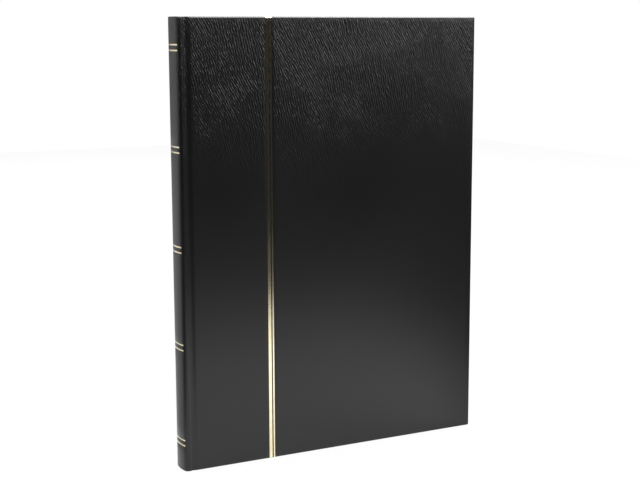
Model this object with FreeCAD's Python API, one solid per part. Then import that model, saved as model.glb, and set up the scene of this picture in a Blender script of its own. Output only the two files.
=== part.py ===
"""Stamp album (A4 stockbook): a hard case of leatherette over boards with gold rules, around eight card
leaves on linen hinges, each with rows of glassine pockets, and glassine interleaves between the leaves.

Millimetres. The closed album stands on its tail: +Z is up, the spine is at -X, the fore-edge at +X and
the front cover faces -Y. The origin is the middle of the footprint. Sections are drawn in u, measured
from the spine face towards the fore-edge, and v, measured from the front face into the album.
"""
import FreeCAD, Part
import os
from math import asin, cos, degrees, radians, sin

V = FreeCAD.Vector

# Case
album_width = 230.0        # spine face to fore-edge
album_height = 305.0       # tail to head
leather_t = 0.4            # leatherette with its glue
board_t = 2.0              # greyboard in the covers
edge_r = 1.0               # rounding of the covered board edges
turn_in = 15.0             # leatherette folded over to the inside
spine_board_t = 1.2        # formed card in the spine
spine_crown_r = 36.0       # gentle curve of the spine face
spine_corner_r = 3.0       # curve from the spine face round to the joint
shoulder_v = 0.3           # the shoulder lies this far below the cover face

# Joint: the flexible groove between the spine and a cover
hinge_u = 6.3              # bottom of the groove, where the cover turns
groove_v = 1.0             # depth of the groove
board_flat_u = 10.5        # the cover face is flat from here on
joint_gap = 0.2            # room on each side of the turning line

# Gold rules, foil stamped flush into the leatherette
foil_t = 0.05
wide_rule_u = 64.5
wide_rule_w = 2.2
narrow_rule_w = 1.25
rule_gap = 0.875           # leatherette left between the wide and the narrow rule
spine_rule_pairs = 5
spine_rule_end = 19.9      # from the head or tail to the middle of the outer pair
spine_rule_spread = 3.7    # between the two rules of a pair
spine_rule_w = 0.95

# Endpapers
paper_t = 0.2
square = 4.0               # the case stands this far beyond the paper at head, tail and fore-edge

# Binding
hollow = 0.2               # air behind the turned-in leatherette of the spine
lining_t = 0.3             # cloth glued over the back of the guards
guard_end_u = 12.0         # free edge of the card guards, on which the leaves turn
hinge_slack = 0.95         # a sheet is stiff from this far beyond the guards
clear = 0.1                # between sheets that turn apart

# Leaves
leaf_count = 8
leaf_room = 0.45           # between two leaves, for the stamps and the interleaf
card_t = 0.6
card_inset = 6.0           # from the guards to the card's back edge
linen_t = 0.3
linen_lap = 8.0            # linen glued onto the card
film_t = 0.07              # one sheet of a glassine interleaf
film_gap = 0.02            # between its two sheets

# Pockets
strip_t = 0.1
strip_pitch = 32.0
strip_height = 27.0
strip_margin = 2.5         # card left bare beside the strips

narrow_rule_u = wide_rule_u + (wide_rule_w + narrow_rule_w) / 2 + rule_gap
plate_t = board_t + 2 * leather_t
cover_in_v = plate_t + paper_t
flyleaf_v = cover_in_v + clear
stack_v = flyleaf_v + paper_t + clear
leaf_t = strip_t + card_t + linen_t
leaf_pitch = leaf_t + leaf_room
album_depth = 2 * stack_v + leaf_count * leaf_t + (leaf_count - 1) * leaf_room
mid_v = album_depth / 2
sheet_u = guard_end_u + hinge_slack
card_u = guard_end_u + card_inset
paper_end_u = album_width - square
paper_top = album_height - square


def save(name, shape):
    """Move a shape from u, v to the album's frame and write it as one node."""
    placed = shape.copy()
    placed.translate(V(-album_width / 2, -mid_v, 0))
    placed.exportStep("parts/" + name + ".step")


def to_back(shape):
    """The same piece at the back of the album, mirrored in the middle plane."""
    return shape.mirror(V(0, mid_v, 0), V(0, 1, 0))


def block(u, v, z):
    """Box between pairs of limits."""
    return Part.makeBox(u[1] - u[0], v[1] - v[0], z[1] - z[0], V(u[0], v[0], z[0]))


def sheet(u, v, thickness):
    """Sheet of the leaves' height, from v towards the back."""
    return block(u, (v, v + thickness), (square, paper_top))


def line(a, b):
    return Part.LineSegment(a, b).toShape()


def prism(edges, z):
    """Closed outline raised between two heights."""
    face = Part.Face(Part.Wire(Part.__sortEdges__(edges)))
    face.translate(V(0, 0, z[0]))
    return face.extrude(V(0, 0, z[1] - z[0]))


class Bend:
    """Round stretch of the case's outer line. An inset stretch is concentric: tighter where the centre
    lies inside the case, and wider in the bottom of the groove, whose centre lies outside."""

    def __init__(self, centre, radius, start, end, inside=True):
        self.centre = centre
        self.radius = radius
        self.start = start
        self.end = end
        self.inside = inside

    def point(self, share, inset):
        angle = radians(self.start + share * (self.end - self.start))
        radius = self.radius - inset if self.inside else self.radius + inset
        return V(self.centre[0] + radius * cos(angle), self.centre[1] + radius * sin(angle), 0)

    def edge(self, inset):
        return Part.Arc(self.point(0, inset), self.point(0.5, inset), self.point(1, inset)).toShape()

    def mirrored(self):
        centre = (self.centre[0], album_depth - self.centre[1])
        return Bend(centre, self.radius, -self.end, -self.start, self.inside)


def band(bends, outer, inner, z):
    """Layer that follows the bends between two insets."""
    edges = [bend.edge(inset) for bend in bends for inset in (outer, inner)]
    edges.append(line(bends[0].point(0, outer), bends[0].point(0, inner)))
    edges.append(line(bends[-1].point(1, outer), bends[-1].point(1, inner)))
    return prism(edges, z)


def groove_side(flat_u, flat_v):
    """Rise from the bottom of the groove to a flat stretch, as two equal arcs."""
    half_u = abs(flat_u - hinge_u) / 2
    half_v = (groove_v - flat_v) / 2
    radius = (half_u**2 + half_v**2) / (2 * half_v)
    towards = 1 if flat_u > hinge_u else -1
    sweep = towards * degrees(asin(half_u / radius))
    gap = towards * degrees(asin(joint_gap / radius))
    valley = Bend((hinge_u, groove_v - radius), radius, 90 - gap, 90 - sweep, inside=False)
    crest = Bend((flat_u, flat_v + radius), radius, -90 - sweep, -90)
    return valley, crest


# Spine: a crowned face that runs through a tighter curve into the shoulder of each joint
crown_angle = degrees(asin((mid_v - shoulder_v - spine_corner_r) / (spine_crown_r - spine_corner_r)))
corner_u = spine_crown_r - (spine_crown_r - spine_corner_r) * cos(radians(crown_angle))
corner = Bend((corner_u, shoulder_v + spine_corner_r), spine_corner_r, -90, crown_angle - 180)
crown = Bend((spine_crown_r, mid_v), spine_crown_r, 180 + crown_angle, 180 - crown_angle)
spine_face = [corner, crown, corner.mirrored()]
spine_valley, spine_crest = groove_side(corner_u, shoulder_v)
spine_line = [spine_valley, spine_crest, *spine_face, spine_crest.mirrored(), spine_valley.mirrored()]
spine_board_in = leather_t + spine_board_t
spine_turn_in = spine_board_in + leather_t

# Cover: the groove rises over the edge of the board to the flat face
cover_valley, cover_crest = groove_side(board_flat_u, 0)
lip_u = cover_crest.point(0, 0).x
board_u = lip_u + leather_t


def slab(inset, u):
    """Covered board at an inset from its outer faces, with all edges round but those at the joint."""
    limits_v = (inset, plate_t - inset)
    plain = block((u, album_width - inset), limits_v, (inset, album_height - inset))
    return plain.makeFillet(edge_r - inset, [e for e in plain.Edges if e.BoundBox.XMax > board_flat_u])


def over_groove(inset):
    """What the groove takes off a slab, down to the crest at an inset."""
    low = cover_crest.point(0, inset)
    high = cover_crest.point(1, inset)
    above = -board_t
    corners = [high, V(high.x, above, 0), V(hinge_u, above, 0), V(hinge_u, low.y, 0), low]
    edges = [line(a, b) for a, b in zip(corners, corners[1:])]
    edges.append(cover_crest.edge(inset))
    return prism(edges, (-square, album_height + square))


def cover_rule(u, width):
    """Stripe of foil down the front face and round the head and tail edges."""
    stripe = block((u - width / 2, u + width / 2), (0, plate_t / 2), (0, album_height))
    return stripe.common(slab(0, lip_u)).cut(slab(foil_t, lip_u))


def cover_leather(board):
    """Leatherette round a board: its face, three edges, turn-ins and the flexible skirt at the joint."""
    bare = block((hinge_u, album_width - turn_in), (leather_t + board_t, plate_t),
                 (turn_in, album_height - turn_in))
    skirt = band([cover_valley], 0, leather_t, (0, album_height))
    shell = slab(0, lip_u).cut(over_groove(0)).cut([board, bare])
    return shell.fuse(skirt).removeSplitter()


def pastedown():
    """Endpaper half glued to the board, which steps up onto the turned-in leatherette."""
    tray_z = (turn_in, album_height - turn_in)
    tray = block((board_u, album_width - turn_in), (leather_t + board_t, cover_in_v), tray_z)
    rim = block((board_u, paper_end_u), (plate_t, cover_in_v), (square, paper_top))
    dip = block((lip_u, album_width - turn_in - paper_t), (leather_t + board_t + paper_t, cover_in_v),
                (turn_in + paper_t, album_height - turn_in - paper_t))
    return rim.fuse(tray).cut(dip).removeSplitter()


def pockets(v):
    """Glassine strips of one page, each glued along its bottom and ends and open at the top."""
    rows = int((paper_top - square) // strip_pitch)
    first = square + (paper_top - square - rows * strip_pitch) / 2
    u = (card_u + linen_lap + strip_margin, paper_end_u - strip_margin)
    feet = [first + row * strip_pitch for row in range(rows)]
    return Part.makeCompound([block(u, (v, v + strip_t), (z, z + strip_height)) for z in feet])


os.makedirs("parts", exist_ok=True)

# Case: spine
ends = [(0, turn_in), (album_height - turn_in, album_height)]
caps = [(0, leather_t), (album_height - leather_t, album_height)]
rule_step = (album_height - 2 * spine_rule_end) / (spine_rule_pairs - 1)
rule_middles = [spine_rule_end + pair * rule_step + side * spine_rule_spread / 2
                for pair in range(spine_rule_pairs) for side in (-1, 1)]
spine_rules = [band(spine_face, 0, foil_t, (z - spine_rule_w / 2, z + spine_rule_w / 2))
               for z in rule_middles]
folds = [band(spine_face, leather_t, spine_board_in, z) for z in caps]
folds += [band(spine_face, spine_board_in, spine_turn_in, z) for z in ends]
spine_leather = band(spine_line, 0, leather_t, (0, album_height)).fuse(folds).cut(spine_rules)
save("spine_leather", spine_leather.removeSplitter())
save("spine_board", band(spine_face, leather_t, spine_board_in, (leather_t, album_height - leather_t)))
save("spine_gold_rules", Part.makeCompound(spine_rules))

# Case: covers
board = slab(leather_t, board_u).cut(over_groove(leather_t))
plain_leather = cover_leather(board)
wide_rule = cover_rule(wide_rule_u, wide_rule_w)
narrow_rule = cover_rule(narrow_rule_u, narrow_rule_w)
save("front_board", board)
save("front_cover_leather", plain_leather.cut([wide_rule, narrow_rule]))
save("front_wide_gold_rule", wide_rule)
save("front_narrow_gold_rule", narrow_rule)
save("back_board", to_back(board))
save("back_cover_leather", to_back(plain_leather))

# Endpapers
flyleaf = sheet((sheet_u, paper_end_u), flyleaf_v, paper_t)
save("front_pastedown", pastedown())
save("back_pastedown", to_back(pastedown()))
save("front_flyleaf", flyleaf)
save("back_flyleaf", to_back(flyleaf))

# Leaves, each a card with its linen hinge and the pockets of two pages
leaf_vs = [stack_v + leaf * leaf_pitch for leaf in range(leaf_count)]
linen_vs = [v + strip_t + card_t for v in leaf_vs]
for number, (v, linen_v) in enumerate(zip(leaf_vs, linen_vs), 1):
    leaf = f"leaf_{number}"
    save(leaf + "_card", sheet((card_u, paper_end_u), v + strip_t, card_t))
    save(leaf + "_linen_hinge", sheet((sheet_u, card_u + linen_lap), linen_v, linen_t))
    save(leaf + "_front_pockets", pockets(v))
    save(leaf + "_back_pockets", pockets(linen_v))

# Interleaves, each of two sheets in the middle of the room between two leaves
film_in = (leaf_room - 2 * film_t - film_gap) / 2
for number, v in enumerate(leaf_vs[:-1], 1):
    first_v = v + leaf_t + film_in
    films = [sheet((sheet_u, paper_end_u), film_v, film_t)
             for film_v in (first_v, first_v + film_t + film_gap)]
    save(f"interleaf_{number}", Part.makeCompound(films))

# Binding: guards with the roots of the linen between them, and the lining over their back
lining_u = crown.point(0, spine_turn_in).x + hollow
bound_u = (lining_u + lining_t, guard_end_u)
guard_starts = [cover_in_v + clear] + [v + linen_t for v in linen_vs]
guard_ends = linen_vs + [album_depth - cover_in_v - clear]
guards = [sheet(bound_u, start, end - start) for start, end in zip(guard_starts, guard_ends)]
save("binding_guards", Part.makeCompound(guards))
save("linen_roots", Part.makeCompound([sheet(bound_u, v, linen_t) for v in linen_vs]))
save("spine_lining", sheet((lining_u, bound_u[0]), guard_starts[0], guard_ends[-1] - guard_starts[0]))
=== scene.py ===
"""Stamp album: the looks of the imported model. Each section is one piece or one group of like pieces, in
the order in which the album is put together. Lengths are in millimetres up to the last step of a mesh,
and in metres on the stage.
"""
from math import asin, cos, degrees, pi, radians, tau

import bmesh
import bpy
import numpy as np
from mathutils import Matrix, Vector


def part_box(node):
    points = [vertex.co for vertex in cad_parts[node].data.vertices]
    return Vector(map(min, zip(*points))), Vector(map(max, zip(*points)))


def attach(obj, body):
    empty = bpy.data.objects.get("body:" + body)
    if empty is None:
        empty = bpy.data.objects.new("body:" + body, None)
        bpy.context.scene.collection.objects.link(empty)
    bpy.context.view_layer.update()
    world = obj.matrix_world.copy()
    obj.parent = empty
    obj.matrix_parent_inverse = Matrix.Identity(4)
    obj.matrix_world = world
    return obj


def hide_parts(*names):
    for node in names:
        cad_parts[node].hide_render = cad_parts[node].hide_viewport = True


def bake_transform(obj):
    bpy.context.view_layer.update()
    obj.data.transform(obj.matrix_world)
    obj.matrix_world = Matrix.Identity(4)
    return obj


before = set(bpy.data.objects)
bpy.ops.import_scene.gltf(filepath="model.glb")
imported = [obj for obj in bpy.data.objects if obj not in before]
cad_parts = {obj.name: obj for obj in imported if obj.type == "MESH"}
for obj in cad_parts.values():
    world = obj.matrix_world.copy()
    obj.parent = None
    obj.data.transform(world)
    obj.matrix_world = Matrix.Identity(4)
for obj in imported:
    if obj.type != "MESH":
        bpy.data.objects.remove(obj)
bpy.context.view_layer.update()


# Boards. Two grey millboards stiffen the covers, and a thinner strip formed to the crown stiffens the
# spine. They are pressed from waste paper, so flecks of fibre show in the grey. The covering and the
# endpapers are glued over them and hide them.

MM_PER_M = 1000
PULP_DARK, PULP_PALE = (0.25, 0.235, 0.21), (0.43, 0.41, 0.37)


class Wire:
    """One output in a node tree. Sums and products of wires and numbers add Math nodes."""

    def __init__(self, finish, socket):
        self.finish = finish
        self.socket = socket

    def math(self, operation, *terms):
        return self.finish.node("ShaderNodeMath", {"operation": operation}, dict(enumerate(terms)))

    def __add__(self, other):
        return self.math("ADD", self, other)

    def __sub__(self, other):
        return self.math("SUBTRACT", self, other)

    def __rsub__(self, other):
        return self.math("SUBTRACT", other, self)

    def __mul__(self, other):
        return self.math("MULTIPLY", self, other)

    __radd__ = __add__
    __rmul__ = __mul__

    def sine(self):
        return self.math("SINE", self)

    def absolute(self):
        return self.math("ABSOLUTE", self)

    def most(self, other):
        return self.math("MAXIMUM", self, other)

    def ease(self, start, end, low=0.0, high=1.0):
        """Low up to start, high from end on, and a smooth step between them."""
        values = {"Value": self, "From Min": start, "From Max": end, "To Min": low, "To Max": high}
        return self.finish.node("ShaderNodeMapRange", {"interpolation_type": "SMOOTHSTEP"}, values)


class Finish:
    """A material or world in the making, with one method that adds any node to its tree."""

    def __init__(self, owner):
        owner.use_nodes = True
        self.owner = owner
        self.nodes = owner.node_tree.nodes
        self.links = owner.node_tree.links
        self.nodes.clear()

    def node(self, kind, settings, values, output=0):
        made = self.nodes.new(kind)
        for name, setting in settings.items():
            setattr(made, name, setting)
        for key, value in values.items():
            socket = self.find(made.inputs, key)
            if isinstance(value, Wire):
                self.links.new(value.socket, socket)
            else:
                socket.default_value = value
        return Wire(self, self.find(made.outputs, output)) if made.outputs else None

    def find(self, sockets, key):
        if isinstance(key, int):
            return sockets[key]
        return next(s for s in sockets if key in (s.identifier, s.name))

    def millimetres(self, source="Object", scale=(1, 1, 1), turn=0.0):
        """Places on the piece, in millimetres times a scale, turned about the axis that faces out."""
        place = self.node("ShaderNodeTexCoord", {}, {}, source)
        place = self.node("ShaderNodeMapping", {}, {"Vector": place, "Scale": (MM_PER_M,) * 3})
        place = self.node("ShaderNodeMapping", {}, {"Vector": place, "Rotation": (0, 0, turn)})
        return self.node("ShaderNodeMapping", {}, {"Vector": place, "Scale": scale})

    def axes(self, place):
        """The three parts of a place."""
        split = self.node("ShaderNodeSeparateXYZ", {}, {"Vector": place})
        return [Wire(self, socket) for socket in split.socket.node.outputs]

    def noise(self, place, per_mm, detail):
        """Soft random patches, from 0 to 1, with finer ones laid over them."""
        values = {"Vector": place, "Scale": per_mm, "Detail": detail, "Roughness": 0.55}
        return self.node("ShaderNodeTexNoise", {}, values, "Fac")

    def mixed(self, share, first, second):
        """From the first colour to the second, by a share of the second."""
        values = {"Factor_Float": share, "A_Color": (*first, 1), "B_Color": (*second, 1)}
        return self.node("ShaderNodeMix", {"data_type": "RGBA"}, values, "Result_Color")

    def raised(self, height, distance_mm):
        """Relief as deep as the distance, where the height goes from 0 to 1."""
        values = {"Height": height, "Distance": distance_mm / MM_PER_M, "Strength": 1.0}
        return self.node("ShaderNodeBump", {}, values)

    def surface(self, values):
        shader = self.node("ShaderNodeBsdfPrincipled", {}, values)
        self.node("ShaderNodeOutputMaterial", {}, {"Surface": shader})
        return self.owner


def dress(nodes, material):
    """Gives pieces that keep their own shape a finish."""
    for name in nodes:
        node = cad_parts[name]
        node.data.materials.clear()
        node.data.materials.append(material)


finish = Finish(bpy.data.materials.new("greyboard"))
fleck = finish.noise(finish.millimetres(), 0.8, 4)
fibre = finish.noise(finish.millimetres(scale=(0.4, 2.2, 0.4)), 1.3, 3)
pulp = (fleck * 0.7 + fibre * 0.3).ease(0.35, 0.68)
greyboard = finish.surface({
    "Base Color": finish.mixed(pulp, PULP_DARK, PULP_PALE),
    "Roughness": fleck.ease(0.3, 0.7, 0.82, 0.94),
    "Normal": finish.raised(fibre + fleck * 0.5, 0.05),
})
dress(["front_board", "back_board", "spine_board"], greyboard)


# Covering. One sheet of black leatherette, embossed with a calf grain, is drawn over both boards and the
# spine, pressed into the two joint grooves and folded 15 mm over every edge to the inside. It bends in
# both grooves, so it is made in two parts, which meet where the spine turns into the back groove.

WIDTH, HEIGHT, DEPTH = 230.0, 305.0, 17.95
SHEET, TURN_IN = 0.4, 15.0
PLATE, EDGE = 2.8, 1.0                  # thickness of a covered board, and the rounding of its edges
HINGE, GROOVE, BOARD_FLAT = 6.3, 1.0, 10.5
BEND_FROM, BEND_TO = 4.9, 7.7           # stretch of the groove that bends when a cover opens
CROWN, CORNER, SHOULDER = 36.0, 3.0, 0.3
SPINE_FOLD, SPINE_EDGE = 2.0, 0.8       # folded thickness and rounded edge at the ends of the spine
GROOVE_FOLD, GROOVE_EDGE = 0.95, 0.42   # and at the ends of the grooves
SPINE_FOLD_U = (4.5, 3.6)               # the groove's fold grows to the spine's between these
BOARD_FOLD_U = (8.1, 9.1)               # and to the board's between these
MITRE_FROM = 150.0                      # the folds at head and tail draw in from here to the corner
WIDE_RULE, WIDE_W = 64.5, 2.2
NARROW_RULE, NARROW_W = 67.07, 1.05
RULES_FROM, RULES_TO = 61.0, 70.0       # stretch of the face that holds both rules
SPINE_PAIRS, SPINE_RULE_W, SPINE_RULE_END, SPINE_RULE_SPREAD = 5, 0.95, 19.9, 3.7
SPINE_RULE_STEP = (HEIGHT - 2 * SPINE_RULE_END) / (SPINE_PAIRS - 1)
PRESSED, PRESS_SLOPE = 0.06, 0.09
END_MARGIN, RULE_MARGIN = 4.0, 1.0      # plain rows of the mesh keep clear of the ends and the rules
GROOVE_POINTS, CORNER_POINTS, CROWN_POINTS, PLAIN_ROWS = 9, 10, 19, 34
FACE_COLUMNS = (33, 13)                 # columns of the mesh on the two sides of the front rules
UNSTAMPED_POINTS = 6                    # points round each corner of the spine that its rules leave plain
FAN = 5                                 # points of the fold round each corner of a board
BACK_RUN = 1.0                          # the map of the back part begins this far past the split
TINY = 1e-6
WELD, SHARP = 1e-7, 40                  # metres between joined points, and degrees at a sharp edge
BLACK, WORN_BLACK = (0.0034, 0.0034, 0.0036), (0.0046, 0.0046, 0.0048)


def arc(centre, radius, start, end, count, inside=True):
    """Round stretch of the case's outer line: points, and at each the way into the case."""
    angle = np.radians(np.linspace(start, end, count))
    ray = np.stack([np.cos(angle), np.sin(angle)], 1)
    return np.hstack([np.array(centre) + radius * ray, -ray if inside else ray])


def groove_arcs(flat_u, flat_v):
    """From a flat stretch down to the bottom of the groove, as two equal arcs."""
    half_u = abs(flat_u - HINGE) / 2
    half_v = (GROOVE - flat_v) / 2
    radius = (half_u**2 + half_v**2) / (2 * half_v)
    sweep = (1 if flat_u > HINGE else -1) * degrees(asin(half_u / radius))
    crest = arc((flat_u, flat_v + radius), radius, -90, -90 - sweep, GROOVE_POINTS)
    valley = arc((HINGE, GROOVE - radius), radius, 90 - sweep, 90, GROOVE_POINTS, inside=False)
    return np.vstack([crest, valley[1:]])


def mirrored(line):
    """The same line at the back of the album."""
    return line * (1, -1, 1, -1) + (0, DEPTH, 0, 0)


def run_along(points):
    """Length of a line up to each of its points."""
    steps = np.linalg.norm(np.diff(points, axis=0), axis=1)
    return np.concatenate([[0], np.cumsum(steps)])


def rule_edges(middle, width):
    """Where the slopes of a rule's pressed channel begin and end."""
    reach = width / 2
    return [middle + reach + PRESS_SLOPE, middle + reach, middle - reach, middle - reach - PRESS_SLOPE]


def pressed(at, rules):
    """How deep the stamping tool has pressed a place below the face."""
    depth = np.zeros(at.shape)
    for middle, width in rules:
        depth = np.where(abs(at - middle) < width / 2 + TINY, PRESSED, depth)
    return depth


crown_angle = degrees(asin((DEPTH / 2 - SHOULDER - CORNER) / (CROWN - CORNER)))
corner_u = CROWN - (CROWN - CORNER) * cos(radians(crown_angle))
front_rules = [(WIDE_RULE, WIDE_W), (NARROW_RULE, NARROW_W)]
spine_rules = [
    (SPINE_RULE_END + pair * SPINE_RULE_STEP + side * SPINE_RULE_SPREAD / 2, SPINE_RULE_W)
    for pair in range(SPINE_PAIRS) for side in (-1, 1)
]

face_u = np.array([
    *np.linspace(WIDTH - EDGE, RULES_TO, FACE_COLUMNS[0]),
    *rule_edges(NARROW_RULE, NARROW_W),
    *rule_edges(WIDE_RULE, WIDE_W),
    *np.linspace(RULES_FROM, BOARD_FLAT, FACE_COLUMNS[1]),
])
flat = np.zeros(len(face_u))
face = np.stack([face_u, flat, flat, flat + 1], 1)
cover_side = groove_arcs(BOARD_FLAT, 0)
spine_side = groove_arcs(corner_u, SHOULDER)[::-1]
corner = arc((corner_u, SHOULDER + CORNER), CORNER, -90, crown_angle - 180, CORNER_POINTS)
crown = arc((CROWN, DEPTH / 2), CROWN, 180 + crown_angle, 180 - crown_angle, CROWN_POINTS)
spine_face = np.vstack([corner, crown[1:], mirrored(corner)[-2::-1]])
stamped_face = spine_face[UNSTAMPED_POINTS:-UNSTAMPED_POINTS]
joint_line = np.vstack([face, cover_side[1:], spine_side[1:]])
front_line = np.vstack([joint_line, spine_face[1:]])
back_line = mirrored(joint_line)

plain_z = np.linspace(END_MARGIN, HEIGHT - END_MARGIN, PLAIN_ROWS)
rule_z = np.array([z for middle, width in spine_rules for z in rule_edges(middle, width)])
clear_z = plain_z[np.min(abs(plain_z[:, None] - rule_z), axis=1) > RULE_MARGIN]
sheet_z = np.sort(np.concatenate([clear_z, rule_z]))


def smooth(x, start, end):
    """From 0 at the start to 1 at the end, without a kink."""
    t = np.clip((x - start) / (end - start), 0, 1)
    return t * t * (3 - 2 * t)


def fold_sizes(line):
    """Edge radius and folded thickness along a line: thick over the board, thin in the groove."""
    over_board = smooth(line[:, 0], *BOARD_FOLD_U)
    over_spine = smooth(line[:, 0], *SPINE_FOLD_U)
    depth = GROOVE_FOLD + over_board * (PLATE - GROOVE_FOLD) + over_spine * (SPINE_FOLD - GROOVE_FOLD)
    radius = GROOVE_EDGE + over_board * (EDGE - GROOVE_EDGE) + over_spine * (SPINE_EDGE - GROOVE_EDGE)
    return radius, depth


def fold_steps(radius, depth):
    """Steps of the fold over an edge: reach beyond the border of the face, depth, and length run."""
    turn = np.radians([22.5, 45, 67.5, 90])[:, None]
    tucked = np.array([2.0, 6.0, TURN_IN])[:, None]
    rounded = radius * (1 - np.cos(turn))
    out = np.vstack([radius * np.sin(turn), radius * np.sin(turn[::-1]), 0 * radius, radius - tucked])
    deep = np.vstack([rounded, depth - rounded[::-1], depth, depth + 0 * tucked])
    moved = np.hypot(np.diff(out, axis=0, prepend=0), np.diff(deep, axis=0, prepend=0))
    return out, deep, np.cumsum(moved, axis=0)


def fold_border(rows, columns):
    """Border of the face that folds, from the split along tail, fore-edge and head to the split again:
    the row and column of each place, and how far the way out points up and to the fore-edge."""
    fan = np.linspace(0, 90, FAN)
    sides = np.arange(1, rows - 1)
    ends = np.arange(columns)
    row = np.concatenate([np.zeros(columns + FAN, int), sides, np.full(FAN + columns, rows - 1)])
    column = np.concatenate([ends[::-1], np.zeros(2 * FAN + len(sides), int), ends])
    turn = np.concatenate([0 * ends - 90, -fan[::-1], 0 * sides, fan, 0 * ends + 90])
    return row, column, np.sin(np.radians(turn)), np.cos(np.radians(turn))


def in_frame(u, v, z):
    """From the album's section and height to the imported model's frame, in metres."""
    return np.stack(np.broadcast_arrays(u - WIDTH / 2, v - DEPTH / 2, z), -1) / MM_PER_M


def mesh_piece(name, points, faces, material, uv=None):
    """Mesh from points and faces, welded, with a map in metres where one is given."""
    mesh = bpy.data.meshes.new(name)
    mesh.from_pydata(points.reshape(-1, 3).tolist(), [], faces)
    if uv is not None:
        layer = mesh.uv_layers.new(name="sheet")
        corners = np.array([loop.vertex_index for loop in mesh.loops])
        layer.data.foreach_set("uv", uv.reshape(-1, 2)[corners].astype(np.float32).ravel())
    edit = bmesh.new()
    edit.from_mesh(mesh)
    bmesh.ops.remove_doubles(edit, verts=edit.verts, dist=WELD)
    bmesh.ops.recalc_face_normals(edit, faces=edit.faces)
    edit.to_mesh(mesh)
    edit.free()
    mesh.materials.append(material)
    piece = bpy.data.objects.new(name, mesh)
    bpy.context.scene.collection.objects.link(piece)
    return piece


def settled(piece):
    """Turns a piece with modifiers into a plain mesh, smooth but for its sharp edges."""
    evaluated = piece.evaluated_get(bpy.context.evaluated_depsgraph_get())
    mesh = bpy.data.meshes.new_from_object(evaluated)
    piece.modifiers.clear()
    piece.data = mesh
    mesh.shade_smooth()
    mesh.set_sharp_from_angle(angle=radians(SHARP))
    return piece


def thickened(piece, thickness, offset=-1):
    """Gives a sheet its thickness, inwards from its face unless the offset is 1."""
    solid = piece.modifiers.new("thickness", "SOLIDIFY")
    solid.thickness = thickness / MM_PER_M
    solid.offset = offset
    return settled(piece)


def grid_faces(rows, columns, start=0):
    """Four-sided faces between the points of a grid that are numbered row by row from a start."""
    at = start + np.arange(rows * columns).reshape(rows, columns)
    quads = np.stack([at[:-1, :-1], at[:-1, 1:], at[1:, 1:], at[1:, :-1]], -1)
    return quads.reshape(-1, 4).tolist()


def covering(name, line, rules_in_face, rules_in_spine, material, run):
    """Sheet over one run of the case, from a fore-edge to the split, with its folds at three edges."""
    columns = len(line)
    radius, depth = fold_sizes(line)
    along = run + run_along(line[:, :2])
    on_face = pressed(line[:, 0], rules_in_face) * (line[:, 0] > BOARD_FLAT)
    on_spine = (line[:, 0] <= stamped_face[0, 0] + TINY) * pressed(sheet_z[:, None], rules_in_spine)
    z = np.vstack([radius, np.repeat(sheet_z[:, None], columns, axis=1), HEIGHT - radius])
    sunk = np.vstack([on_face, on_face + on_spine, on_face])
    u, v, into_u, into_v = line.T
    points = in_frame(u + sunk * into_u, v + sunk * into_v, z).reshape(-1, 3)
    sheet_map = np.stack(np.broadcast_arrays(along, z), -1).reshape(-1, 2)
    number = np.arange(len(points)).reshape(z.shape)

    row, column, up, out = fold_border(*z.shape)
    line_u, line_v, into_u, into_v = line[column].T
    border_z = z[row, column]
    reach, deep, run_over = fold_steps(radius[column], depth[column])
    at_corner = abs(up) * out > TINY
    at_fore_edge = out > 1 - TINY
    mitred = np.clip((line_u - MITRE_FROM) / (WIDTH - EDGE - MITRE_FROM), 0, 1)
    pulled_u = np.where(at_corner, 1, np.where(at_fore_edge, 0, mitred))
    pulled_z = np.where(at_corner | at_fore_edge, (border_z - HEIGHT / 2) / (HEIGHT / 2 - EDGE), 0)
    inset = np.clip(radius[column] - reach - EDGE, 0, None)
    moved = np.where(at_corner, np.clip(reach, 0, None), reach)
    inwards = deep + np.where(deep < depth[column] / 2 + TINY, on_face[column], 0)
    fold_u = line_u - pulled_u * inset + moved * out + into_u * inwards
    fold_z = border_z - pulled_z * inset + moved * up
    fold_points = in_frame(fold_u, line_v + into_v * inwards, fold_z).reshape(-1, 3)
    fold_map = np.stack([along[column] - run_over * out, border_z + run_over * up], -1).reshape(-1, 2)

    faces = grid_faces(*z.shape) + grid_faces(*reach.shape, len(points))
    rim = number[row, column]
    ring = len(points) + np.arange(len(rim))
    for a, b, c, d in zip(rim, rim[1:], ring[1:], ring):
        faces.append([a, b, c, d] if a != b else [a, c, d])
    maps = np.vstack([sheet_map, fold_map]) / MM_PER_M
    return mesh_piece(name, np.vstack([points, fold_points]), faces, material, maps)


def bends_in_joint(piece, hinge_v):
    """Bakes a sheet's placing into its mesh. The ends of its bend in the groove between the spine and a
    cover are worked out, but nothing uses them, so the sheet does not bend.
    """
    in_frame(BEND_FROM, hinge_v, 0.0)
    in_frame(BEND_TO, hinge_v, 0.0)
    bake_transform(piece)


def creases(finish, turn, pitch):
    """Fine wandering creases, a pitch apart, that come and go along their run."""
    place = finish.millimetres("UV", (1, 0.42, 1), radians(turn))
    wander = finish.noise(place, 0.42, 1)
    broken = finish.noise(place, 0.8, 1)
    wave = finish.axes(place)[0] * (tau / pitch) + wander * 9
    return wave.sine() * broken.ease(0.34, 0.62, 0.1, 1.0)


finish = Finish(bpy.data.materials.new("leatherette"))
sheet_mm = finish.millimetres("UV")
hair = finish.noise(sheet_mm, 2.0, 2)
worn = finish.noise(sheet_mm, 0.012, 3)
slanted = finish.noise(sheet_mm, 0.022, 2).ease(0.42, 0.58)
grain = creases(finish, 13, 1.75) * (1 - slanted) + creases(finish, 30, 1.6) * slanted + hair * 0.5
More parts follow.
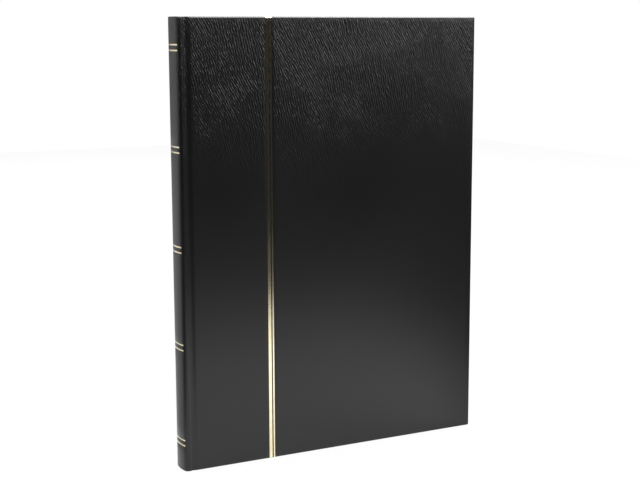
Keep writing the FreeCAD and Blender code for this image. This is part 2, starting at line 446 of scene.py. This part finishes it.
# The grain is pressed deepest near the head and the spine.
from_split, from_tail, _ = finish.axes(sheet_mm)
towards_head = (from_tail + (worn - 0.5) * 60).ease(185, 285, 0.22, 1.0)
embossed = towards_head * from_split.ease(-235, -110, 0.66, 1.0)
leatherette = finish.surface({
    "Base Color": finish.mixed(worn.ease(0.3, 0.7), BLACK, WORN_BLACK),
    "Roughness": worn.ease(0.3, 0.7, 0.268, 0.28) + hair * 0.03,
    "IOR": 1.52,
    "Normal": finish.raised(grain * embossed, 0.084),
})
front_run = -run_along(front_line[:, :2])[-1]
front_covering = covering("front_covering", front_line, front_rules, spine_rules, leatherette, front_run)
back_covering = covering("back_covering", back_line, [], [], leatherette, BACK_RUN)
for piece, cover, hinge_v, nodes in (
    (front_covering, "front_cover", 0.0, ["front_cover_leather", "spine_leather"]),
    (back_covering, "back_cover", DEPTH, ["back_cover_leather"]),
):
    thickened(piece, SHEET)
    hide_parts(*nodes)
    bends_in_joint(piece, hinge_v)


# Gold rules. Bright gold foil, hot-stamped a little below the face of the leatherette: a wide and a
# narrow rule down the front and over its edges, and five pairs of fine rules across the spine.

FOIL, FOIL_LIFT = 0.012, 0.012
FOIL_COLUMNS, FOIL_ROWS = 5, 60         # of the mesh of a front rule
SPINE_FOIL_ROWS = 3
GOLD, RUBBED_GOLD = (1.0, 0.91, 0.67), (0.97, 0.84, 0.54)

finish = Finish(bpy.data.materials.new("gold_foil"))
place = finish.millimetres("UV")
grain = finish.noise(place, 0.9, 3)
rub = finish.noise(place, 0.22, 4)
gold_foil = finish.surface({
    "Base Color": finish.mixed(rub.ease(0.35, 0.7), GOLD, RUBBED_GOLD),
    "Metallic": 1.0,
    "Roughness": rub.ease(0.3, 0.75, 0.08, 0.15),
    "Normal": finish.raised(grain, 0.02),
})


def cover_rule(name, middle, width):
    """Strip of foil in its pressed channel, from the middle of the tail edge to that of the head."""
    across = np.linspace(middle + width / 2, middle - width / 2, FOIL_COLUMNS)
    turn = np.radians([90, 67.5, 45, 22.5])
    edge_v = np.concatenate([[PLATE / 2], EDGE * (1 - np.cos(turn))])
    edge_z = np.concatenate([[0], EDGE * (1 - np.sin(turn))])
    face_z = np.linspace(EDGE, HEIGHT - EDGE, FOIL_ROWS)
    run_v = np.concatenate([edge_v, np.zeros(FOIL_ROWS), edge_v[::-1]]) + PRESSED - FOIL_LIFT
    run_z = np.concatenate([edge_z, face_z, HEIGHT - edge_z[::-1]])
    points = in_frame(across, run_v[:, None], run_z[:, None])
    foil_map = np.stack(np.broadcast_arrays(across, run_z[:, None]), -1) / MM_PER_M
    piece = mesh_piece(name, points, grid_faces(len(run_z), FOIL_COLUMNS), gold_foil, foil_map)
    return thickened(piece, FOIL, 1)


for kind, (middle, width) in zip(("wide", "narrow"), front_rules):
    piece = cover_rule(f"{kind}_rule", middle, width)
    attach(piece, "front_cover")
    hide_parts(f"front_{kind}_gold_rule")


def plan(name, sizes):
    """Empty tree of geometry nodes with a mesh in, a mesh out and named sizes."""
    tree = bpy.data.node_groups.new(name, "GeometryNodeTree")
    tree.interface.new_socket("Geometry", in_out="INPUT", socket_type="NodeSocketGeometry")
    tree.interface.new_socket("Geometry", in_out="OUTPUT", socket_type="NodeSocketGeometry")
    for size, kind in sizes.items():
        tree.interface.new_socket(size, in_out="INPUT", socket_type=kind)
    return tree, tree.nodes.new("NodeGroupInput"), tree.nodes.new("NodeGroupOutput")


def grown(piece, tree, sizes):
    """Runs a tree on a piece with these sizes, and leaves the result as its plain mesh."""
    modifier = piece.modifiers.new(tree.name, "NODES")
    modifier.node_group = tree
    for item in tree.interface.items_tree:
        if item.item_type == "SOCKET" and item.in_out == "INPUT" and item.name in sizes:
            modifier[item.identifier] = sizes[item.name]
    return settled(piece)


def stacked(name, material):
    """Tree that repeats a mesh up the album, a number of times at a step, from a first height."""
    sizes = {"Count": "NodeSocketInt", "First": "NodeSocketFloat", "Step": "NodeSocketFloat"}
    tree, given, result = plan(name, sizes)
    first = tree.nodes.new("ShaderNodeCombineXYZ")
    step = tree.nodes.new("ShaderNodeCombineXYZ")
    heights = tree.nodes.new("GeometryNodeMeshLine")
    copies = tree.nodes.new("GeometryNodeInstanceOnPoints")
    real = tree.nodes.new("GeometryNodeRealizeInstances")
    coat = tree.nodes.new("GeometryNodeSetMaterial")
    coat.inputs["Material"].default_value = material
    for out, into in (
        (given.outputs["First"], first.inputs["Z"]),
        (given.outputs["Step"], step.inputs["Z"]),
        (given.outputs["Count"], heights.inputs["Count"]),
        (first.outputs[0], heights.inputs["Start Location"]),
        (step.outputs[0], heights.inputs["Offset"]),
        (heights.outputs["Mesh"], copies.inputs["Points"]),
        (given.outputs["Geometry"], copies.inputs["Instance"]),
        (copies.outputs["Instances"], real.inputs["Geometry"]),
        (real.outputs["Geometry"], coat.inputs["Geometry"]),
        (coat.outputs["Geometry"], result.inputs["Geometry"]),
    ):
        tree.links.new(out, into)
    return tree


def spine_pair():
    """One pair of rules about height 0, in their pressed channels round the face of the spine."""
    u, v, into_u, into_v = stamped_face.T
    sunk = PRESSED - FOIL_LIFT
    along = run_along(stamped_face[:, :2])
    width = np.linspace(-SPINE_RULE_W / 2, SPINE_RULE_W / 2, SPINE_FOIL_ROWS)[:, None]
    points, maps, faces = [], [], []
    for side in (-1, 1):
        z = side * SPINE_RULE_SPREAD / 2 + width
        faces += grid_faces(len(z), len(u), len(points) * len(z) * len(u))
        points.append(in_frame(u + sunk * into_u, v + sunk * into_v, z))
        maps.append(np.stack(np.broadcast_arrays(along, z), -1) / MM_PER_M)
    piece = mesh_piece("spine_rules", np.vstack(points), faces, gold_foil, np.vstack(maps))
    return thickened(piece, FOIL, 1)


piece = grown(spine_pair(), stacked("spine_rule_pairs", gold_foil), {
    "Count": SPINE_PAIRS,
    "First": SPINE_RULE_END / MM_PER_M,
    "Step": SPINE_RULE_STEP / MM_PER_M,
})
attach(piece, "spine")
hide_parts("spine_gold_rules")


# Endpapers. One folded sheet of smooth off-white paper at each end of the album: one half is glued to the
# inside of the board and steps up onto the turned-in covering, the fold lies in the joint, and the other
# half is glued to the card guards for a few millimetres and turns freely beyond them.

SQUARE = 4.0                            # the covers stand out this far beyond the papers
PAPER_END, PAPER_TOP = WIDTH - SQUARE, HEIGHT - SQUARE
PAPER, PAPER_GLUED = 0.2, 0.04          # thickness of a free sheet, and of one pressed into the glue
FLYLEAF_U, FLYLEAF_V, FLYLEAF_SUNK = 4.7, 3.1, 0.05
GUARD_END, BENT_END = 12.0, 13.2        # a sheet bends between these, at the free edge of the guards
GLUED_U, PAGE_U = 11.6, (60.0, 140.0)   # columns of the mesh before the bend, and across a page
LIFTED = 12.6                           # the flyleaf is clear of the glue from here
STEP_FROM, STEP_TO = 0.2, 1.2           # the fold steps past the turned-in covering between these
OVER_FOLD = 2.02                        # and lies at least this far in where it runs over it
PAPER_SHADE, PAPER_LIGHT = (0.83, 0.81, 0.76), (0.855, 0.835, 0.785)

fold_path = np.array([
    (8.75, 2.9), (8.55, 2.3), (8.0, 1.9), (7.2, 1.62), (6.3, 1.52),
    (5.4, 1.6), (4.8, 2.0), (4.55, 2.6), (4.6, 3.0),
])
tail_step = np.array([SQUARE, TURN_IN + STEP_FROM, TURN_IN + STEP_TO])
fold_z = np.concatenate([tail_step, HEIGHT - tail_step[::-1]])
page_z = np.array([SQUARE, PAPER_TOP])


def places(u, v, z):
    """Grid of places, with u and v for each column and z for each row."""
    return np.stack(np.broadcast_arrays(u, v, np.asarray(z)[:, None]), -1)


def at_back(grid):
    """The same grid at the back of the album."""
    return grid * (1, -1, 1) + (0, DEPTH, 0)


def closed_sheet(name, layers, material):
    """Thin sheets, each closed between the grids of its two faces, mapped across and up the album."""
    points, maps, faces = [], [], []
    for near, far in layers:
        rows, columns = near.shape[:2]
        count = rows * columns
        start = sum(len(grid) for grid in points)
        at = start + np.arange(count).reshape(rows, columns)
        rim = np.concatenate([at[0], at[1:, -1], at[-1, -2::-1], at[-2:0:-1, 0]])
        faces += grid_faces(rows, columns, start) + grid_faces(rows, columns, start + count)
        faces += [[a, b, b + count, a + count] for a, b in zip(rim, np.roll(rim, -1))]
        sheet_map = np.stack(np.broadcast_arrays(run_along(near[0]), near[..., 2]), -1).reshape(-1, 2)
        points += [near.reshape(-1, 3), far.reshape(-1, 3)]
        maps += [sheet_map, sheet_map]
    maps = np.vstack(maps) / MM_PER_M
    return settled(mesh_piece(name, in_frame(*np.vstack(points).T), faces, material, maps))


def turns_with(piece, v):
    """Bakes a sheet's placing into its mesh. The ends of its bend at the free edge of the guards are
    worked out, but nothing uses them, so the sheet does not bend.
    """
    in_frame(GUARD_END, v, 0.0)
    in_frame(BENT_END, v, 0.0)
    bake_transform(piece)


def fibrous(name, source, shadow, light, gloss):
    """Paper or card: soft clouds from the pulp, and short fibres that lie in it."""
    finish = Finish(bpy.data.materials.new(name))
    cloud = finish.noise(finish.millimetres(source), 0.09, 4)
    fibre = finish.noise(finish.millimetres(source, (0.5, 2.6, 1.6), 0.5), 1.1, 3)
    tone = finish.mixed((cloud * 0.7 + fibre * 0.3).ease(0.36, 0.64), shadow, light)
    return finish.surface({
        "Base Color": tone,
        "Roughness": fibre.ease(0.3, 0.7, gloss, gloss + 0.12),
        "Normal": finish.raised(fibre, 0.012),
    })


glued_paper = fibrous("endpaper_glued", "Object", PAPER_SHADE, PAPER_LIGHT, 0.62)
free_paper = fibrous("endpaper_free", "UV", PAPER_SHADE, PAPER_LIGHT, 0.62)
dress(["front_pastedown", "back_pastedown"], glued_paper)

bend_u = [GUARD_END, 12.3, LIFTED, 12.95, BENT_END]
flyleaf_u = np.array([FLYLEAF_U, GLUED_U, *bend_u, *PAGE_U, PAPER_END])
lifted = smooth(flyleaf_u, GUARD_END, LIFTED)
flyleaf_near = places(flyleaf_u, FLYLEAF_V - FLYLEAF_SUNK * (1 - lifted), page_z)
flyleaf_far = flyleaf_near + (PAPER_GLUED + (PAPER - PAPER_GLUED) * lifted)[None, :, None] * (0, 1, 0)
over_covering = np.array([1, 1, 0, 0, 1, 1])[:, None]
fold_u, low_v = fold_path.T
fold_v = np.where(over_covering, np.maximum(low_v, OVER_FOLD), low_v)
fold_out = np.gradient(fold_path, axis=0) @ np.array([(0, -1), (1, 0)])
fold_out *= -PAPER_GLUED / np.linalg.norm(fold_out, axis=1)[:, None]
fold_near = places(fold_u, fold_v, fold_z)
fold_far = fold_near + np.hstack([fold_out, np.zeros((len(fold_out), 1))])
for end, hinge_v, flyleaf_v, turned_over in (
    ("front", 0.0, FLYLEAF_V, np.array),
    ("back", DEPTH, DEPTH - FLYLEAF_V, at_back),
):
    flyleaf = (turned_over(flyleaf_near), turned_over(flyleaf_far))
    piece = closed_sheet(f"{end}_free_endpaper", [flyleaf], free_paper)
    turns_with(piece, flyleaf_v)
    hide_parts(f"{end}_flyleaf")
    fold = (turned_over(fold_near), turned_over(fold_far))
    piece = closed_sheet(f"{end}_endpaper_fold", [fold], free_paper)
    bends_in_joint(piece, hinge_v)


# Binding. Card guards make up the thickness of the leaves at the back and are glued together with the
# linen of the leaves between them, and a cloth lining is pasted over their back edge.

LINEN, LINING_POINTS = 0.3, 9
WARP_PITCH, WEFT_PITCH = 0.42, 0.48
THREAD_SHADE, THREAD_LIGHT = (0.53, 0.50, 0.43), (0.77, 0.74, 0.67)

lining_low, lining_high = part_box("spine_lining")
lining_u = lining_low[0] * MM_PER_M + WIDTH / 2
lining_v = np.linspace(lining_low[1], lining_high[1], LINING_POINTS) * MM_PER_M + DEPTH / 2
dress(["binding_guards"], greyboard)

finish = Finish(bpy.data.materials.new("linen"))
across, along, _ = finish.axes(finish.millimetres("UV"))
slub = finish.noise(finish.millimetres("UV", (1, 0.12, 1)), 1.6, 2)
warp_wave = across * (pi / WARP_PITCH)
weft_wave = along * (pi / WEFT_PITCH)
warp = (warp_wave + slub * 1.6).sine().absolute()
weft = (weft_wave + slub * 1.2).sine().absolute()
over = (warp_wave.sine() * weft_wave.sine()).ease(-0.2, 0.2)
thread = warp * over + weft * (1 - over)
# The tone is partly painted shade: lighter on the crests of the threads and darker in the low gaps
# between them. The slubs add real tone.
tone = (thread * 0.6 + slub * 0.5).ease(0.2, 0.9)
linen = finish.surface({
    "Base Color": finish.mixed(tone, THREAD_SHADE, THREAD_LIGHT),
    "Roughness": thread.ease(0.0, 1.0, 0.92, 0.80),
    "Sheen Weight": 0.15,
    "Normal": finish.raised(thread, 0.09),
})
lining_near = places(lining_u, lining_v, page_z)
piece = closed_sheet("back_lining", [(lining_near, lining_near + (LINEN, 0, 0))], linen)
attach(piece, "spine")
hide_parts("spine_lining")


# Leaves. Eight off-white cards, each glued to a strip of linen that is bound between the guards and lets
# the leaf turn. Nine strips of glassine run across each page, glued at their foot and ends and open at
# the top, where a stamp slides in, so the lip stands off the card by a hair.

LEAVES, LEAF_PITCH, STACK_V = 8, 1.45, 3.4
CARD, LINEN_END = 0.6, 26.0
STRIP, STRIP_LEFT, STRIP_RIGHT, STRIP_HEIGHT = 0.1, 28.5, 223.5, 27.0
STRIPS, STRIP_FIRST, STRIP_STEP = 9, 8.5, 32.0
LIP, LIP_FROM, STRIP_POINTS = 0.08, 20.0, 14
LINEN_BEND_POINTS = 7
CARD_SHADE, CARD_LIGHT = (0.80, 0.78, 0.725), (0.88, 0.86, 0.81)
FILM_SHADE, FILM_LIGHT = (0.86, 0.85, 0.80), (0.93, 0.92, 0.88)

leaf_card = fibrous("leaf_card", "Object", CARD_SHADE, CARD_LIGHT, 0.74)
dress([f"leaf_{leaf}_card" for leaf in range(1, LEAVES + 1)], leaf_card)

finish = Finish(bpy.data.materials.new("glassine"))
cockle = finish.noise(finish.millimetres("UV", (0.35, 1, 1)), 0.09, 3)
cloud = finish.noise(finish.millimetres("UV"), 0.5, 4)
glassine = finish.surface({
    "Base Color": finish.mixed(cloud.ease(0.3, 0.7), FILM_SHADE, FILM_LIGHT),
    "Roughness": cloud.ease(0.3, 0.7, 0.20, 0.32),
    "Alpha": cloud.ease(0.3, 0.7, 0.34, 0.48),
    "Normal": finish.raised(cockle, 0.25),
})

strip_u = np.linspace(STRIP_LEFT, STRIP_RIGHT, STRIP_POINTS)
strip_z = np.array([0.0, LIP_FROM, 24.0, 26.0, STRIP_HEIGHT])
lip_wave = 0.8 + 0.2 * np.cos(strip_u * 0.11)
lip_rise = LIP * smooth(strip_z, LIP_FROM, STRIP_HEIGHT)[:, None] * lip_wave
pocket_rows = stacked("pocket_rows", glassine)
pocket_sizes = {"Count": STRIPS, "First": STRIP_FIRST / MM_PER_M, "Step": STRIP_STEP / MM_PER_M}


def pocket_page(name, base_v, outward):
    """Rows of strips on one page, from the card's face outwards."""
    inner = places(strip_u, base_v + outward * lip_rise, strip_z)
    piece = closed_sheet(name, [(inner, inner + (0, outward * STRIP, 0))], glassine)
    return grown(piece, pocket_rows, pocket_sizes)


root_u = lining_u + LINEN
bend_u = np.linspace(GUARD_END, BENT_END, LINEN_BEND_POINTS)
linen_u = np.array([root_u, GLUED_U, *bend_u, 18.0, LINEN_END])
for leaf in range(1, LEAVES + 1):
    body = f"leaf_{leaf}"
    card_v = STACK_V + (leaf - 1) * LEAF_PITCH + STRIP
    linen_v = card_v + CARD
    linen_near = places(linen_u, linen_v, page_z)
    piece = closed_sheet(f"{body}_linen", [(linen_near, linen_near + (0, LINEN, 0))], linen)
    turns_with(piece, linen_v)
    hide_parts(f"{body}_linen_hinge", "linen_roots")
    for page, base_v, outward in (("front", card_v, -1), ("back", card_v + CARD, 1)):
        piece = pocket_page(f"{body}_{page}_strips", base_v, outward)
        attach(piece, body)
        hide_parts(f"{body}_{page}_pockets")


# Interleaves. Two thin sheets of glassine between each pair of leaves keep the stamps of facing pages
# apart. They are bound between the guards and turn like the leaves.

FILM, FILM_GAP, LEAF_ROOM = 0.07, 0.02, 0.45
FILM_BEND_POINTS = 5

film_u = np.array([*np.linspace(GUARD_END, BENT_END, FILM_BEND_POINTS), *PAGE_U, PAPER_END])
film_in = (LEAF_ROOM - 2 * FILM - FILM_GAP) / 2
for number in range(1, LEAVES):
    first_v = STACK_V + number * LEAF_PITCH - LEAF_ROOM + film_in
    layers = []
    for film_v in (first_v, first_v + FILM + FILM_GAP):
        film_near = places(film_u, film_v, page_z)
        layers.append((film_near, film_near + (0, FILM, 0)))
    piece = closed_sheet(f"interleaf_{number}_sheets", layers, glassine)
    turns_with(piece, first_v)
    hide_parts(f"interleaf_{number}")


# Stage. A pale table in a dim room, with a far light at the right and a long one overhead. In the gloss
# of the covers the table is bright only in front of them, as painted shade darkens it at its left, right
# and near end to all but camera rays. One more light overhead shows in gloss alone, two fills light matt
# faces alone, and the camera sees white all round the album and its shadow.

TABLE_X, TABLE_Y, TABLE_Z = (-1.6, 1.6), (-0.9, 2.4), -0.0001
WHITE, TABLE_PALE, TABLE_PAINTED_SHADE = (1, 1, 1, 1), (0.9, 0.9, 0.9, 1), (0.04, 0.04, 0.04, 1)
FOCAL_PX, PICTURE_W, SENSOR = 1287.8, 640, 36.0
CAMERA_PLACE = (-0.4169, -0.7953, 0.2954)
YAW, PITCH, ROLL = radians(27.276), radians(9.22), radians(-0.194)

finish = Finish(bpy.data.materials.new("table"))
rays = finish.nodes.new("ShaderNodeLightPath").outputs
straight = Wire(finish, rays["Is Camera Ray"]).most(Wire(finish, rays["Is Transmission Ray"]))
in_gloss = Wire(finish, rays["Is Glossy Ray"])
# Painted shade: to all but camera rays the table is dark at left, at right and towards its near end, by
# millimetres from the middle of the album, so the covers mirror it as shaded there.
across, along, _ = finish.axes(finish.millimetres())
past_spine = along.ease(-60, 30)
painted_shade_left_in_front = (1 - across.ease(-300, -130)) * (1 - past_spine) * 0.85
painted_shade_left_behind = (1 - across.ease(-150, -100)) * past_spine * along.ease(400, 1200, 0.45, 0.09)
painted_shade_right = (across + along * 0.52).ease(75, 135, 0.0, 0.45) + across.ease(180, 300, 0.0, 0.45)
clear_of_painted_shade = along.ease(-620, -230) * (1 - (painted_shade_left_in_front + painted_shade_left_behind)) * (1 - painted_shade_right)
matt = finish.node("ShaderNodeBsdfDiffuse", {}, {"Color": TABLE_PALE})
glow = finish.node("ShaderNodeEmission", {}, {"Color": WHITE, "Strength": 1.0})
glowing = (straight * 0.93).most(in_gloss * 0.3)
pale = finish.node("ShaderNodeMixShader", {}, {0: glowing, 1: matt, 2: glow})
# Painted shade: the near-black table that all but camera rays see outside the clear mask.
painted_shade = finish.node("ShaderNodeBsdfDiffuse", {}, {"Color": TABLE_PAINTED_SHADE})
table_top = finish.node("ShaderNodeMixShader", {}, {0: clear_of_painted_shade.most(straight), 1: painted_shade, 2: pale})
finish.node("ShaderNodeOutputMaterial", {}, {"Surface": table_top})
table_points = np.stack(np.broadcast_arrays(TABLE_X, np.array(TABLE_Y)[:, None], TABLE_Z), -1)
table = mesh_piece("table", table_points, grid_faces(2, 2), finish.owner)

finish = Finish(bpy.data.worlds.new("studio"))
bpy.context.scene.world = finish.owner
# How bright the room is in each direction, by its three parts, which go from -1 to 1.
rightward, backward, upward = finish.axes(finish.node("ShaderNodeTexCoord", {}, {}, "Generated"))
rays = finish.nodes.new("ShaderNodeLightPath").outputs
camera_ray = Wire(finish, rays["Is Camera Ray"])
leftward = 0 - rightward
left_wall = leftward.ease(-0.3, 0.64, 0.05, 0.8) * backward.ease(-0.6, -0.4)
back_wall = rightward.ease(0.1, 0.3) * backward.ease(0.5, 0.8) * 0.9
ceiling = upward.ease(0.5, 0.95, 0.0, 0.9)
room = left_wall.most(back_wall).most(0.02).most(ceiling)
level = camera_ray + (1 - camera_ray) * room
sky = finish.node("ShaderNodeBackground", {}, {"Color": WHITE, "Strength": level})
finish.node("ShaderNodeOutputWorld", {}, {"Surface": sky})


def softbox(name, place, aim, size, power):
    """Flat soft lamp that faces an aim."""
    lamp = bpy.data.lights.new(name, "AREA")
    lamp.shape = "RECTANGLE"
    lamp.size, lamp.size_y = size
    lamp.energy = power
    holder = bpy.data.objects.new(name, lamp)
    holder.location = place
    holder.rotation_euler = (Vector(aim) - Vector(place)).to_track_quat("-Z", "Y").to_euler()
    bpy.context.scene.collection.objects.link(holder)
    return holder


softbox("side_light", (2.86, -2.80, 0.90), (0.0, 0.0, 0.25), (0.9, 0.5), 15.0)
softbox("top_light", (0.60, -0.10, 1.25), (0.0, 0.0, 0.30), (2.0, 0.5), 18.0)
for name, place in (("fill_light", (-0.5, -1.6, 1.1)), ("back_fill_light", (0.5, 1.7, 1.1))):
    fill = softbox(name, place, (0.0, 0.0, 0.15), (1.2, 1.2), 18.0)
    fill.visible_glossy = False
edge_light = softbox("edge_light", (0.6, -0.4, 1.30), (0.6, -0.4, 0.0), (2.2, 2.6), 100.0)
edge_light.visible_diffuse = False

camera = bpy.data.objects.new("camera", bpy.data.cameras.new("camera"))
bpy.context.scene.collection.objects.link(camera)
bpy.context.scene.camera = camera
camera.data.sensor_width = SENSOR
camera.data.lens = FOCAL_PX * SENSOR / PICTURE_W
heading = Matrix.Rotation(-YAW, 4, "Z") @ Matrix.Rotation(pi / 2 - PITCH, 4, "X")
turned = heading @ Matrix.Rotation(ROLL, 4, "Z")
camera.matrix_world = Matrix.Translation(CAMERA_PLACE) @ turned

bpy.context.scene.view_settings.view_transform = "Standard"
